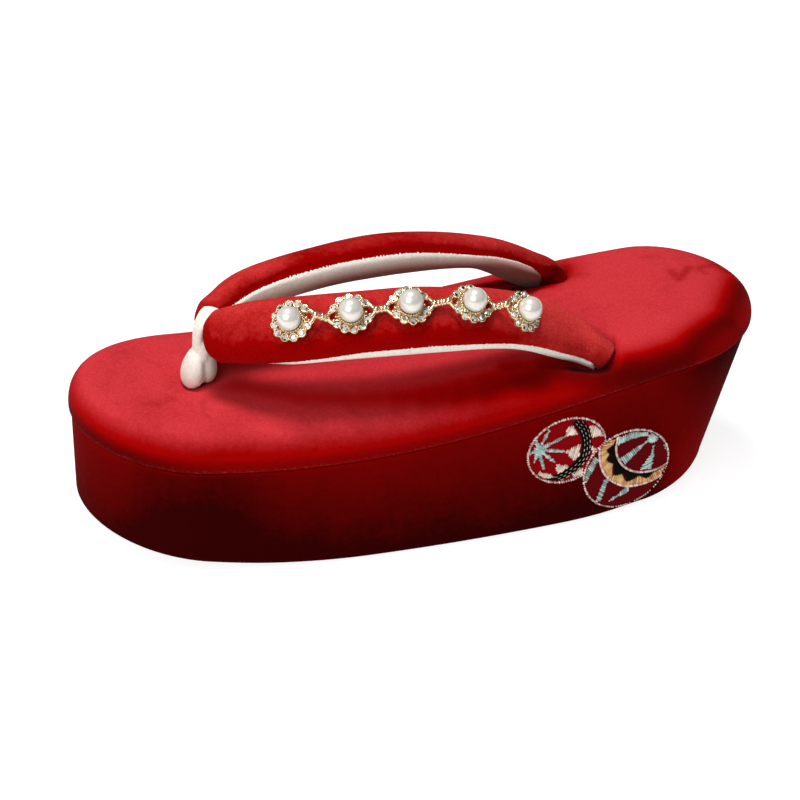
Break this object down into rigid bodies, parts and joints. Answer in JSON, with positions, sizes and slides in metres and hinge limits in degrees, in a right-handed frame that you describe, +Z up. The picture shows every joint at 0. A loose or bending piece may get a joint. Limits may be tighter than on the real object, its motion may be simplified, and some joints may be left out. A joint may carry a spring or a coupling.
{
  "type": "zori sandal",
  "caption": "Velvet-covered wedge zori for a left foot, with padded straps joined at a cloth toe post and a pearl chain on the outer strap.",
  "frame": {"origin": "on the floor, below the middle of the shoe's bounding box", "axes": "+X to the toe, +Y to the wearer's left (outer side), +Z up"},
  "size_m": [0.2402, 0.083, 0.0959],
  "materials": {
    "sole_velvet": "deep red cotton velvet wrapped over the sole's side",
    "pad_velvet": "red cotton velvet over a padded top",
    "strap_velvet": "red velvet outside, cream cloth inside",
    "cream_cloth": "cream brushed cloth",
    "gilt_metal": "gilt cast metal",
    "pearl": "white imitation pearl"
  },
  "bodies": {
    "root": {"sole_body": "sole_velvet", "top_pad": "pad_velvet", "straps": "strap_velvet", "front_post": "cream_cloth", "setting_1": "gilt_metal", "setting_2": "gilt_metal", "setting_3": "gilt_metal", "setting_4": "gilt_metal", "setting_5": "gilt_metal", "pearl_1": "pearl", "pearl_2": "pearl", "pearl_3": "pearl", "pearl_4": "pearl", "pearl_5": "pearl", "link_1": "gilt_metal", "link_2": "gilt_metal", "link_3": "gilt_metal", "link_4": "gilt_metal"}
  },
  "joints": []
}
